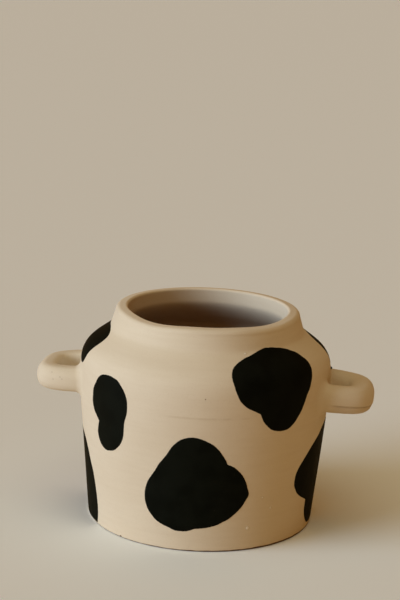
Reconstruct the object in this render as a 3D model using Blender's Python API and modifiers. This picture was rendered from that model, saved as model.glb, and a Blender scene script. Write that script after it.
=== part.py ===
"""A squat cast crock with a wide mouth, two looped handles and painted cow-hide blotches.

Metres, +Z up. The pot stands on z = 0 and is turned about the Z axis. The handles lie along X, and
azimuths are measured from -Y, the front, towards +X.
"""
import math

import bmesh
import bpy
from mathutils import Matrix, Vector

MM = 0.001

# Outside of the turned wall, from the table up
BASE_RADIUS = 71.5 * MM
FLANK_RADIUS = 77.0 * MM
BELLY_RADIUS = 79.0 * MM
NECK_ROOT_RADIUS = 61.0 * MM
RIM_RADIUS = 57.9 * MM
FLANK_RISE = 61.0 * MM
BELLY_RISE = 35.0 * MM
SHOULDER_RISE = 25.3 * MM
NECK_RISE = 13.7 * MM

# Curves of the outside
BELLY_TURN = 13.0 * MM
SHOULDER_TURN = 14.0 * MM
SHOULDER_RUN = 12.0 * MM
SHOULDER_SLOPE_DEG = 37.0
ROOT_FILLET = 3.0 * MM

# Thickness of the casting, its lip and its foot
WALL = 6.0 * MM
FLOOR = 7.0 * MM
FLOOR_FILLET = 9.0 * MM
RIM_WIDTH = 7.6 * MM
LIP_DEPTH = 5.0 * MM
LIP_TURN = 4.0 * MM
FOOT_EDGE = 1.2 * MM
FOOT_RING_WIDTH = 9.0 * MM
FOOT_RECESS = 1.2 * MM
FOOT_RECESS_SLOPE = 2.0 * MM

# Looped handles
HANDLE_BELOW_BELLY = 9.3 * MM
HANDLE_REACH = 28.7 * MM
HANDLE_BREADTH = 51.4 * MM
HANDLE_BAND = 12.4 * MM
HANDLE_HEIGHT = 16.5 * MM
HANDLE_ROOT = 16.6 * MM
HANDLE_FLARE = 8.0 * MM
HANDLE_FLARE_SHARE = 0.35
HANDLE_DROOP_DEG = 4.0
HANDLE_PLAN_POWER = 3.5
HANDLE_SECTION_POWER = 2.25

# Paint layer, and the gap that every joined piece keeps to the wall
PAINT = 0.4 * MM
JOINT_GAP = 0.3 * MM
OVERRUN = 8.0 * MM

TURN_STEPS = 64
SHOULDER_STEPS = 6
BELLY_STEPS = 3
FLANK_STEPS = 3
ROOT_STEPS = 2
RIM_STEPS = 8
LIP_STEPS = 4
FILLET_STEPS = 3
FOOT_STEPS = 2
HANDLE_STEPS = 24
SECTION_STEPS = 14
SPOT_STEPS = 3
WELD = 0.01 * MM

BELLY_HEIGHT = FLANK_RISE + BELLY_RISE
ROOT_HEIGHT = BELLY_HEIGHT + SHOULDER_RISE
POT_HEIGHT = ROOT_HEIGHT + NECK_RISE
RIM_ROLL = RIM_WIDTH / 2
ROLL_HEIGHT = POT_HEIGHT - RIM_ROLL

CREAM = (0.72, 0.63, 0.49, 1.0)
CREAM_ROUGHNESS = 0.85
BLACK = (0.010, 0.010, 0.008, 1.0)
BLACK_ROUGHNESS = 0.6

# Painted blotches: the azimuth that each outline faces
SPOT_AZIMUTH_DEG = {
    "spot_front_low": 5,
    "spot_front_left": -40,
    "spot_front_right": 43,
    "spot_left_shoulder": -94,
    "spot_right_shoulder": 126,
    "spot_left_long": -78,
    "spot_right_low": 84,
    "spot_back_low": 196,
    "spot_back_high": 157,
    "spot_back_left": -134,
    "spot_back_right": 132,
}

# Lobes of each blotch's outline. A lobe is one smooth stretch of points, and two lobes meet in
# notches. A point is (across, up), as shares of the belly's radius and of the pot's height.
SPOT_SHARES = {
    "spot_front_low": (
        ((0.233, 0.420), (0.213, 0.449), (0.173, 0.486), (0.111, 0.519), (0.000, 0.542),
         (-0.122, 0.528), (-0.180, 0.502), (-0.222, 0.460), (-0.275, 0.414), (-0.348, 0.335),
         (-0.387, 0.268), (-0.384, 0.218), (-0.349, 0.169), (-0.246, 0.117), (-0.128, 0.095),
         (-0.050, 0.099)),
        ((0.002, 0.111), (0.061, 0.115), (0.137, 0.124), (0.210, 0.142), (0.285, 0.168),
         (0.363, 0.226), (0.401, 0.274), (0.387, 0.308), (0.360, 0.353), (0.290, 0.404)),
    ),
    "spot_front_left": (
        ((0.166, 0.550), (0.184, 0.587), (0.204, 0.623), (0.206, 0.655), (0.191, 0.691),
         (0.156, 0.727), (0.099, 0.751), (0.028, 0.760), (-0.042, 0.755), (-0.100, 0.739),
         (-0.172, 0.695), (-0.206, 0.643), (-0.211, 0.602), (-0.200, 0.571)),
        ((-0.140, 0.530), (-0.142, 0.503), (-0.144, 0.476), (-0.134, 0.444), (-0.103, 0.420),
         (-0.049, 0.405), (0.014, 0.407), (0.084, 0.427), (0.127, 0.455), (0.157, 0.490),
         (0.163, 0.521)),
    ),
    "spot_front_right": (
        ((-0.176, 0.650), (-0.267, 0.675), (-0.346, 0.721), (-0.382, 0.782), (-0.380, 0.813),
         (-0.350, 0.837), (-0.225, 0.872), (-0.090, 0.895)),
        ((0.010, 0.902), (0.100, 0.900), (0.190, 0.888), (0.265, 0.872), (0.340, 0.843),
         (0.356, 0.809), (0.347, 0.773), (0.296, 0.702), (0.218, 0.633), (0.150, 0.580),
         (0.086, 0.556), (0.027, 0.553), (-0.050, 0.562), (-0.105, 0.586), (-0.140, 0.618)),
    ),
    "spot_left_shoulder": (
        ((0.120, 0.906), (0.290, 0.908), (0.354, 0.892), (0.428, 0.864), (0.470, 0.837),
         (0.488, 0.804), (0.487, 0.771), (0.458, 0.752), (0.360, 0.764), (0.200, 0.784),
         (0.050, 0.787), (-0.130, 0.773), (-0.300, 0.750), (-0.420, 0.759), (-0.478, 0.800),
         (-0.450, 0.849), (-0.350, 0.879), (-0.200, 0.897), (-0.050, 0.904)),
    ),
    "spot_right_shoulder": (
        ((-0.250, 0.881), (-0.350, 0.858), (-0.400, 0.813), (-0.412, 0.764), (-0.385, 0.732),
         (-0.300, 0.719), (-0.200, 0.714), (-0.050, 0.701), (0.110, 0.697), (0.240, 0.714),
         (0.330, 0.755), (0.340, 0.804), (0.270, 0.845), (0.140, 0.873), (0.000, 0.885),
         (-0.130, 0.888)),
    ),
    "spot_left_long": (
        ((0.060, 0.454), (0.161, 0.432), (0.213, 0.408), (0.285, 0.369), (0.329, 0.306),
         (0.359, 0.226), (0.378, 0.146), (0.386, 0.075), (0.376, 0.027), (0.290, 0.016),
         (0.000, 0.016), (-0.260, 0.022), (-0.380, 0.063), (-0.430, 0.153), (-0.390, 0.252),
         (-0.300, 0.323), (-0.190, 0.386), (-0.070, 0.440)),
    ),
    "spot_right_low": (
        ((-0.206, 0.163), (-0.278, 0.178), (-0.350, 0.203), (-0.399, 0.239), (-0.421, 0.277),
         (-0.419, 0.315), (-0.391, 0.349), (-0.339, 0.384), (-0.256, 0.408), (-0.153, 0.449),
         (-0.045, 0.471), (0.040, 0.494), (0.110, 0.497), (0.200, 0.472), (0.290, 0.413),
         (0.330, 0.341), (0.310, 0.261)),
        ((0.240, 0.202), (0.235, 0.135), (0.180, 0.076), (0.090, 0.045), (0.000, 0.038),
         (-0.100, 0.043), (-0.170, 0.072), (-0.200, 0.117)),
    ),
    "spot_back_low": (
        ((0.230, 0.135), (0.320, 0.157), (0.390, 0.211), (0.380, 0.288), (0.290, 0.346),
         (0.150, 0.373), (0.000, 0.359)),
        ((-0.090, 0.337), (-0.200, 0.350), (-0.310, 0.323), (-0.370, 0.261), (-0.350, 0.180),
         (-0.250, 0.117), (-0.080, 0.090), (0.110, 0.094)),
    ),
    "spot_back_high": (
        ((-0.100, 0.449), (0.050, 0.431), (0.190, 0.449), (0.270, 0.512), (0.270, 0.593),
         (0.180, 0.647), (0.050, 0.656)),
        ((-0.060, 0.629), (-0.160, 0.651), (-0.260, 0.620), (-0.300, 0.557), (-0.250, 0.490)),
    ),
    "spot_back_left": (
        ((0.060, 0.440), (0.160, 0.467), (0.210, 0.530), (0.180, 0.602), (0.120, 0.660),
         (0.020, 0.687), (-0.090, 0.669), (-0.170, 0.611), (-0.190, 0.539), (-0.140, 0.467),
         (-0.040, 0.431)),
    ),
    "spot_back_right": (
        ((0.000, 0.117), (0.110, 0.135), (0.180, 0.198), (0.170, 0.279), (0.100, 0.341)),
        ((0.030, 0.350), (-0.060, 0.386), (-0.150, 0.359), (-0.190, 0.288), (-0.180, 0.198),
         (-0.110, 0.135)),
    ),
}


def clear_objects():
    for item in list(bpy.data.objects):
        bpy.data.objects.remove(item, do_unlink=True)


def new_collection(name):
    made = bpy.data.collections.new(name)
    bpy.context.scene.collection.children.link(made)
    return made


def paint(name, colour, roughness):
    made = bpy.data.materials.new(name)
    made.use_nodes = True
    shader = made.node_tree.nodes["Principled BSDF"]
    shader.inputs["Base Color"].default_value = colour
    shader.inputs["Roughness"].default_value = roughness
    shader.inputs["Metallic"].default_value = 0.0
    made.diffuse_color = colour
    return made


def bezier(start, lead, trail, end, steps):
    """Points of one cubic curve in (radius, height)."""
    points = []
    for step in range(steps + 1):
        t = step / steps
        s = 1 - t
        weights = (s ** 3, 3 * s * s * t, 3 * s * t * t, t ** 3)
        points.append(tuple(
            sum(w * p[axis] for w, p in zip(weights, (start, lead, trail, end))) for axis in (0, 1)))
    return points


def arc(centre, radius, start_deg, end_deg, steps):
    """Points of a circular arc in (radius, height), angles from +radius towards +height."""
    points = []
    for step in range(steps + 1):
        angle = math.radians(start_deg + (end_deg - start_deg) * step / steps)
        points.append((centre[0] + radius * math.cos(angle), centre[1] + radius * math.sin(angle)))
    return points


def joined(*stretches):
    """One list of points from several that meet end to end."""
    points = list(stretches[0])
    for stretch in stretches[1:]:
        points.extend(stretch[1:])
    return points


def shoulder_direction():
    slope = math.radians(SHOULDER_SLOPE_DEG)
    return Vector((math.cos(slope), -math.sin(slope)))


def root_wall():
    """Outside of the neck's root, a fillet where the neck's line meets the shoulder's."""
    corner = Vector((NECK_ROOT_RADIUS, ROOT_HEIGHT))
    up = (Vector((RIM_RADIUS, ROLL_HEIGHT)) - corner).normalized()
    down = shoulder_direction()
    return bezier(corner + up * ROOT_FILLET, corner, corner, corner + down * ROOT_FILLET, ROOT_STEPS)


def body_wall():
    """Outside from the top of the shoulder down to the foot's edge."""
    down = shoulder_direction()
    start = Vector((NECK_ROOT_RADIUS, ROOT_HEIGHT)) + down * ROOT_FILLET
    belly = Vector((BELLY_RADIUS, BELLY_HEIGHT))
    flank = Vector((FLANK_RADIUS, FLANK_RISE))
    foot = Vector((BASE_RADIUS, FOOT_EDGE))
    lean = (flank - foot).normalized()
    shoulder = bezier(start, start + down * SHOULDER_RUN, belly + Vector((0, SHOULDER_TURN)), belly,
                      SHOULDER_STEPS)
    upper = bezier(belly, belly - Vector((0, BELLY_TURN)), flank + lean * BELLY_TURN, flank, BELLY_STEPS)
    lower = [tuple(flank.lerp(foot, step / FLANK_STEPS)) for step in range(FLANK_STEPS + 1)]
    return joined(shoulder, upper, lower)


def outer_wall():
    """Outside from the foot of the rim's roll down to the foot's edge."""
    return [(RIM_RADIUS, ROLL_HEIGHT)] + joined(root_wall(), body_wall())


def offset(points, distance):
    """The same line moved outwards by a distance, for points that run down the outside."""
    moved = []
    for index, point in enumerate(points):
        before = Vector(points[max(index - 1, 0)])
        after = Vector(points[min(index + 1, len(points) - 1)])
        along = (after - before).normalized()
        moved.append((point[0] - along.y * distance, point[1] + along.x * distance))
    return moved


def wall_radius(height):
    """Outside radius of the wall at a height."""
    points = outer_wall()
    for upper, lower in zip(points, points[1:]):
        if lower[1] <= height <= upper[1]:
            share = (height - lower[1]) / (upper[1] - lower[1])
            return lower[0] + (upper[0] - lower[0]) * share
    return points[-1][0]


def inner_wall():
    """Inside from the lip down to the floor's fillet."""
    lip_radius = RIM_RADIUS - RIM_WIDTH
    lip_top = Vector((lip_radius, ROLL_HEIGHT))
    lip_foot = Vector((lip_radius, ROLL_HEIGHT - LIP_DEPTH))
    fillet_height = FLOOR + FLOOR_FILLET
    body = [point for point in offset(body_wall(), -WALL) if point[1] > fillet_height]
    start = Vector(body[0])
    along = (start - Vector(body[1])).normalized()
    under_lip = bezier(lip_foot, lip_foot - Vector((0, LIP_TURN)), start + along * LIP_TURN, start,
                       LIP_STEPS)
    side = wall_radius(fillet_height) - WALL
    fillet = arc((side - FLOOR_FILLET, fillet_height), FLOOR_FILLET, 0, -90, FILLET_STEPS)
    return [tuple(lip_top)] + joined(under_lip, body) + fillet


def jar_profile():
    """Closed section of the pot: up its inside, over the rim, down its outside, across its foot."""
    inside = [(0, FLOOR)] + inner_wall()[::-1]
    rim = arc((RIM_RADIUS - RIM_ROLL, ROLL_HEIGHT), RIM_ROLL, 180, 0, RIM_STEPS)
    foot = arc((BASE_RADIUS - FOOT_EDGE, FOOT_EDGE), FOOT_EDGE, 0, -90, FOOT_STEPS)
    ring = BASE_RADIUS - FOOT_EDGE - FOOT_RING_WIDTH
    under = [(ring, 0), (ring - FOOT_RECESS_SLOPE, FOOT_RECESS), (0, FOOT_RECESS)]
    return joined(inside, rim, outer_wall(), foot) + under


def turned(name, profile, collection, closed=False):
    """A profile in (radius, height) turned about Z."""
    edges = [(i, i + 1) for i in range(len(profile) - 1)]
    if closed:
        edges.append((len(profile) - 1, 0))
    mesh = bpy.data.meshes.new(name)
    mesh.from_pydata([(radius, 0, height) for radius, height in profile], edges, [])
    made = bpy.data.objects.new(name, mesh)
    collection.objects.link(made)
    turn = made.modifiers.new("Turn", "SCREW")
    turn.axis = "Z"
    turn.angle = math.tau
    turn.steps = TURN_STEPS
    turn.render_steps = TURN_STEPS
    turn.use_merge_vertices = True
    turn.merge_threshold = WELD
    return made


def as_guide(item):
    item.hide_render = True
    item.display_type = "WIRE"


def meshed(curve_object, name, collection):
    """A mesh object made from a curve, with its loose caps welded."""
    bpy.context.view_layer.update()
    depsgraph = bpy.context.evaluated_depsgraph_get()
    mesh = bpy.data.meshes.new_from_object(curve_object.evaluated_get(depsgraph))
    mesh.name = name
    weld_vertices(mesh)
    made = bpy.data.objects.new(name, mesh)
    made.matrix_world = curve_object.matrix_world.copy()
    collection.objects.link(made)
    bpy.data.objects.remove(curve_object, do_unlink=True)
    return made


def weld_vertices(mesh):
    work = bmesh.new()
    work.from_mesh(mesh)
    bmesh.ops.remove_doubles(work, verts=work.verts, dist=WELD)
    bmesh.ops.recalc_face_normals(work, faces=work.faces)
    work.to_mesh(mesh)
    work.free()


def cut(item, cutter, operation):
    step = item.modifiers.new(cutter.name, "BOOLEAN")
    step.operation = operation
    step.solver = "EXACT"
    step.object = cutter


def superellipse(half_width, half_height, power, angle):
    across = math.copysign(abs(math.cos(angle)) ** (2 / power), math.cos(angle))
    up = math.copysign(abs(math.sin(angle)) ** (2 / power), math.sin(angle))
    return half_width * across, half_height * up


def handle_section(guides):
    """Closed curve that is swept along the handle: a little squarer than an ellipse."""
    curve = bpy.data.curves.new("handle_section", "CURVE")
    curve.dimensions = "2D"
    spline = curve.splines.new("POLY")
    spline.points.add(SECTION_STEPS - 1)
    spline.use_cyclic_u = True
    for index, point in enumerate(spline.points):
        angle = math.tau * (index + 0.5) / SECTION_STEPS
        x, y = superellipse(HANDLE_BAND / 2, HANDLE_HEIGHT / 2, HANDLE_SECTION_POWER, angle)
        point.co = (x, y, 0, 1)
    made = bpy.data.objects.new("handle_section", curve)
    guides.objects.link(made)
    as_guide(made)
    return made


def handle(name, parts, guides, envelope, turned_deg, material):
    """A horizontal loop whose two limbs run into the wall, cut back to it."""
    seat_height = BELLY_HEIGHT - HANDLE_BELOW_BELLY
    seat_radius = wall_radius(seat_height)
    reach = HANDLE_REACH + HANDLE_ROOT - HANDLE_BAND / 2
    half_breadth = (HANDLE_BREADTH - HANDLE_BAND) / 2
    section = handle_section(guides)
    curve = bpy.data.curves.new(name, "CURVE")
    curve.dimensions = "3D"
    curve.twist_mode = "Z_UP"
    curve.bevel_mode = "OBJECT"
    curve.bevel_object = section
    curve.use_fill_caps = True
    spline = curve.splines.new("POLY")
    spline.points.add(HANDLE_STEPS)
    for index, point in enumerate(spline.points):
        angle = math.pi * (index / HANDLE_STEPS - 0.5)
        x, y = superellipse(reach, half_breadth, HANDLE_PLAN_POWER, angle)
        point.co = (x - HANDLE_ROOT, y, 0, 1)
        closeness = min(1, max(0, 1 - (x - HANDLE_ROOT) / HANDLE_FLARE))
        point.radius = 1 + HANDLE_FLARE_SHARE * closeness ** 2
    loop = bpy.data.objects.new(name + "_curve", curve)
    guides.objects.link(loop)
    droop = Matrix.Rotation(math.radians(HANDLE_DROOP_DEG), 4, "Y")
    seat = Matrix.Translation((seat_radius, 0, seat_height))
    loop.matrix_world = Matrix.Rotation(math.radians(turned_deg), 4, "Z") @ seat @ droop
    made = meshed(loop, name, parts)
    bpy.data.objects.remove(section, do_unlink=True)
    cut(made, envelope, "DIFFERENCE")
    made.data.materials.append(material)
    made.data.shade_smooth()
    return made


def wall_envelope(guides):
    """Solid that fills the pot's outside and the gap round it, for cutting the handles back."""
    skin = offset(outer_wall(), JOINT_GAP)
    top = skin[0]
    foot = skin[-1]
    profile = [(0, top[1])] + skin + [(0, foot[1])]
    made = turned("wall_envelope", profile, guides)
    as_guide(made)
    return made


def spot_outline(name, azimuth_deg, lobes, guides):
    """Prism of a blotch's outline, from inside the wall out past it."""
    curve = bpy.data.curves.new(name, "CURVE")
    curve.dimensions = "2D"
    curve.fill_mode = "BOTH"
    curve.resolution_u = SPOT_STEPS
    widest = max(radius for radius, height in outer_wall())
    inner = widest / 3
    outer = widest + OVERRUN
    curve.extrude = (outer - inner) / 2
    shares = [point for lobe in lobes for point in lobe]
    notches = [shares.index(lobe[0]) for lobe in lobes] if len(lobes) > 1 else []
    spline = curve.splines.new("BEZIER")
    spline.bezier_points.add(len(shares) - 1)
    spline.use_cyclic_u = True
    for index, point in enumerate(spline.bezier_points):
        across, up = shares[index]
        point.co = (across * BELLY_RADIUS, up * POT_HEIGHT, 0)
        kind = "VECTOR" if index in notches else "AUTO"
        point.handle_left_type = kind
        point.handle_right_type = kind
    flat = bpy.data.objects.new(name + "_curve", curve)
    guides.objects.link(flat)
    upright = Matrix.Rotation(math.radians(90), 4, "X")
    centre = Matrix.Translation((0, -(inner + outer) / 2, 0))
    flat.matrix_world = Matrix.Rotation(math.radians(azimuth_deg), 4, "Z") @ centre @ upright
    made = meshed(flat, name, guides)
    as_guide(made)
    return made


def spot(name, azimuth_deg, lobes, parts, guides, material):
    """Thin layer of paint that follows the wall, cut out of a turned skin."""
    wall = joined(root_wall(), body_wall())
    under = offset(wall, JOINT_GAP)
    over = offset(wall, JOINT_GAP + PAINT)
    made = turned(name, over + under[::-1], parts, closed=True)
    cut(made, spot_outline(name + "_outline", azimuth_deg, lobes, guides), "INTERSECT")
    made.data.materials.append(material)
    return made


def jar_body(parts, material):
    made = turned("jar_body", jar_profile(), parts)
    made.data.materials.append(material)
    return made


def main():
    clear_objects()
    parts = new_collection("spoon_crock")
    guides = new_collection("cutters")
    jar_body(parts, paint("jar_cream", CREAM, CREAM_ROUGHNESS))
    envelope = wall_envelope(guides)
    handle_cream = paint("handle_cream", CREAM, CREAM_ROUGHNESS)
    handle("handle_right", parts, guides, envelope, 0, handle_cream)
    handle("handle_left", parts, guides, envelope, 180, handle_cream)
    black = paint("spot_black", BLACK, BLACK_ROUGHNESS)
    for name, lobes in SPOT_SHARES.items():
        spot(name, SPOT_AZIMUTH_DEG[name], lobes, parts, guides, black)


main()
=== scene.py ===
"""Looks of the squat cow-hide crock: one smooth casting, its painted blotches, and a plain studio.

Metres, +Z up. The pot stands on z = 0 and is turned about the Z axis. Azimuths are measured from
-Y, the front, towards +X.
"""
import math

import bmesh
import bpy
import numpy as np
from mathutils import Matrix, Vector
from mathutils.geometry import delaunay_2d_cdt


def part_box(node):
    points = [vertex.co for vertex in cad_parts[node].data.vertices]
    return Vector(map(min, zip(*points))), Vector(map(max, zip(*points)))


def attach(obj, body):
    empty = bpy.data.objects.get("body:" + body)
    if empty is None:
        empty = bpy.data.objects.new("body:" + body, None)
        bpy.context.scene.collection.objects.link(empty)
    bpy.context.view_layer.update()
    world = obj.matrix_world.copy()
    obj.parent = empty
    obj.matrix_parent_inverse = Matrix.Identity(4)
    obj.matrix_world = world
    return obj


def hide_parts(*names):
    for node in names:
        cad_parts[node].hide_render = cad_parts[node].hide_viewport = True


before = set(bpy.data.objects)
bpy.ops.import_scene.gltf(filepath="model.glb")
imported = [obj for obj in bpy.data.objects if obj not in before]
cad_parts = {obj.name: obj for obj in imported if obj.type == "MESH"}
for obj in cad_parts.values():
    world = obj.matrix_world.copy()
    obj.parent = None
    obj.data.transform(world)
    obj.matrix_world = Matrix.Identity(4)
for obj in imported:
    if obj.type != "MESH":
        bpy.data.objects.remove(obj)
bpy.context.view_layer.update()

MM = 0.001

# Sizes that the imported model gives
jar_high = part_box("jar_body")[1]
handle_low, handle_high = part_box("handle_right")
POT_HEIGHT = jar_high.z
BELLY_RADIUS = jar_high.y
HANDLE_TIP = handle_high.x
HANDLE_BREADTH = handle_high.y - handle_low.y

# Outside of the turned wall, from the table up
BASE_RADIUS = 71.5 * MM
FLANK_RADIUS = 77 * MM
NECK_ROOT_RADIUS = 61 * MM
RIM_RADIUS = 57.9 * MM
FLANK_HEIGHT = 61 * MM
BELLY_HEIGHT = 96 * MM
ROOT_HEIGHT = 121.3 * MM

# Curves of the outside
BELLY_TURN = 13 * MM
SHOULDER_TURN = 14 * MM
SHOULDER_RUN = 10.5 * MM
SHOULDER_SLOPE_DEG = 37.0
ROOT_FILLET = 5 * MM

# Thickness of the casting, its lip and its foot
WALL = 6 * MM
FLOOR = 7 * MM
FLOOR_FILLET = 9 * MM
RIM_WIDTH = 7.7 * MM
RIM_ROUNDING = 3.2 * MM
RIM_INNER_ROUNDING = 1.5 * MM
RIM_FALL = 0.3 * MM
LIP_DEPTH = 5 * MM
LIP_TURN = 4 * MM
FOOT_EDGE = 1.1 * MM
FOOT_RING_WIDTH = 9 * MM
FOOT_RECESS = 1.2 * MM
FOOT_RECESS_SLOPE = 2 * MM

# Looped handles. MOULD_FADE is how far out of the wall the mould's step starts and is whole.
HANDLE_BELOW_BELLY = 8.9 * MM
HANDLE_BAND = 12.4 * MM
HANDLE_ROOT = 16.6 * MM
HANDLE_SHY = 0.3 * MM
HANDLE_PLAN_POWER = 3.5
HANDLE_SECTION_POWER = 2.6
HANDLE_CROWN_POWER = 2.0
HANDLE_FILLET = 4 * MM
HANDLE_FILLET_PULL = 0.55
HANDLE_SWELL = 1.4 * MM
MOULD_STEP_WIDTH = 0.5 * MM
MOULD_BELOW_MIDDLE = 2.8 * MM
MOULD_FADE = (2 * MM, 8 * MM)

# The two handles, which differ a little: height of the band, how far each is turned round the
# pot, droops, rolls and sits higher, how much the band swells inwards at the loop's tip, how
# square its inner top edge is, and the step that the mould left
RIGHT_HANDLE = {
    "height": 17 * MM,
    "turn_deg": 0,
    "droop_deg": 4.0,
    "roll_deg": -1.6,
    "lift": -0.25 * MM,
    "tip_swell": 2.4 * MM,
    "crown_power": 2.6,
    "mould_step": 0.25 * MM,
}
LEFT_HANDLE = {
    "height": 15.3 * MM,
    "turn_deg": 180,
    "droop_deg": 2.6,
    "roll_deg": -0.5,
    "lift": 0.15 * MM,
    "tip_swell": 0,
    "crown_power": 4.0,
    "mould_step": 0,
}
HANDLES = (RIGHT_HANDLE, LEFT_HANDLE)

# Unevenness of the hand-finished casting, and its waves round the pot: how many there are, their
# phase, and how fast they turn with height
UNEVEN = 0.12 * MM
UNEVEN_PITCH = 60 * MM
UNEVEN_WAVES = ((2, 0.7, 0.0), (3, 0.0, 1.0), (5, 2.0, -0.8))

# Dips of the rim: azimuth and reach to each side in degrees, and depth
RIM_DIPS = ((0, 120, 0.8 * MM), (-31, 34, 1.3 * MM), (52, 31, 0.7 * MM))

# Paint film of the blotches
FILM = 0.13 * MM
FILM_EDGE = 0.06 * MM
FILM_ROUNDING = 0.2 * MM
FILM_SHOULDER = 0.11 * MM
FILM_SHOULDER_SHARE = 0.7
FILM_SUNK = 0.25 * MM
FILM_SPREAD = 0.2 * MM
EDGE_WOBBLE = 0.08 * MM
EDGE_WOBBLE_PITCH = 2.6 * MM
SLOW_WOBBLE_SHARE = 0.37

# Fineness of the meshes
COLUMNS = 288
OUTER_SPACING = 1 * MM
INNER_SPACING = 3.4 * MM
FINE_SPACING = 0.5 * MM
ROOT_CLEAR = 0.9 * MM
LINE_POINTS = 401
PLAN_FINENESS = 5
SECTION_POINTS = 56
LOOP_RINGS = 72
FILLET_RINGS = 8
OUTLINE_STEPS = 12
BLOTCH_SPACING = 1.8 * MM
SHADE_DOT_POINTS = 24
SHADE_DOT_RINGS = 13
WELD = 0.004 * MM

ROLL_HEIGHT = POT_HEIGHT - RIM_FALL - RIM_ROUNDING
HANDLE_SEAT = BELLY_HEIGHT - HANDLE_BELOW_BELLY

# Painted blotches: the azimuth that each outline faces
SPOT_AZIMUTH_DEG = {
    "front_low": 4.8,
    "front_left": -40.35,
    "front_right": 42.3,
    "left_shoulder": -94,
    "right_shoulder": 126,
    "left_long": -78,
    "right_low": 83.7,
    "back_low": 196,
    "back_high": 157,
    "back_left": -134,
    "back_right": 132,
}

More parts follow.
